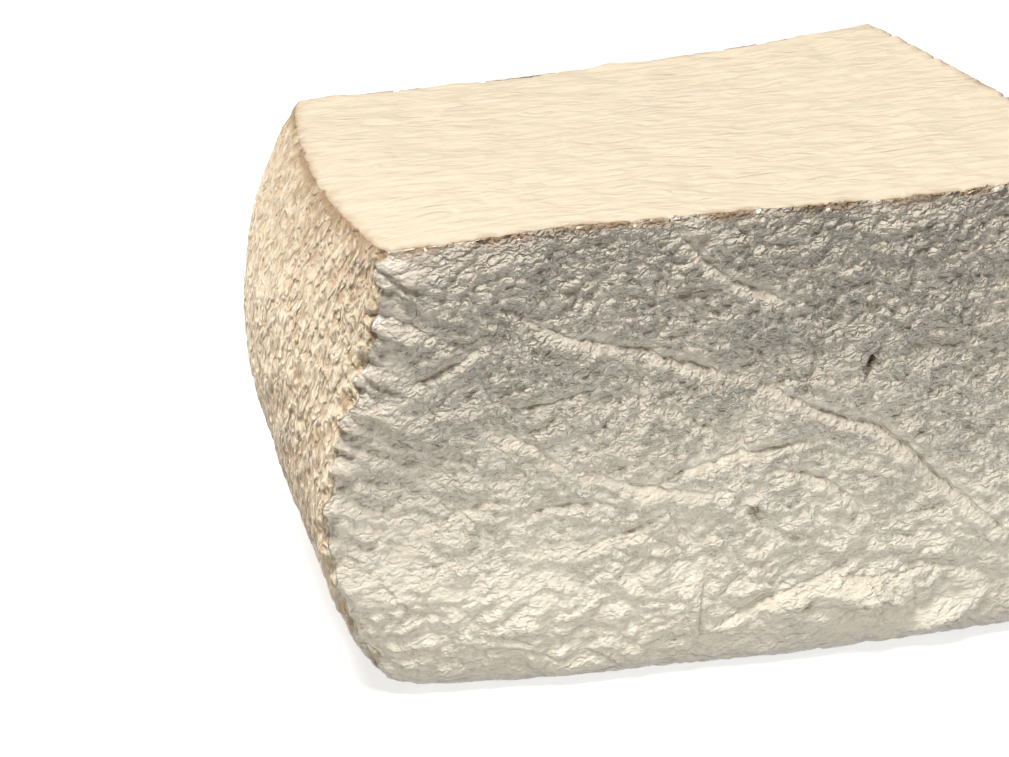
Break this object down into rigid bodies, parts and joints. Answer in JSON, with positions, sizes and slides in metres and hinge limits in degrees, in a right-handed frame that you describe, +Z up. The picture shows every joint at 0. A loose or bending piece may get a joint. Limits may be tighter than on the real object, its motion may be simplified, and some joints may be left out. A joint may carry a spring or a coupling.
{
  "type": "tofu block",
  "caption": "Whole block of pressed firm tofu with a flat cut top, swollen cloth-pressed walls and a rounded foot, standing on its flat base.",
  "frame": {"origin": "middle of the block's bounding box, on the base plane", "axes": "+X along the long front wall, left to right; +Y from the front wall to the back; +Z up"},
  "size_m": [0.112, 0.0966, 0.0641],
  "materials": {
    "tofu": "moist matte curd, cream, smooth where cut and granular where pressed"
  },
  "bodies": {
    "root": {"tofu_block": "tofu"}
  },
  "joints": []
}
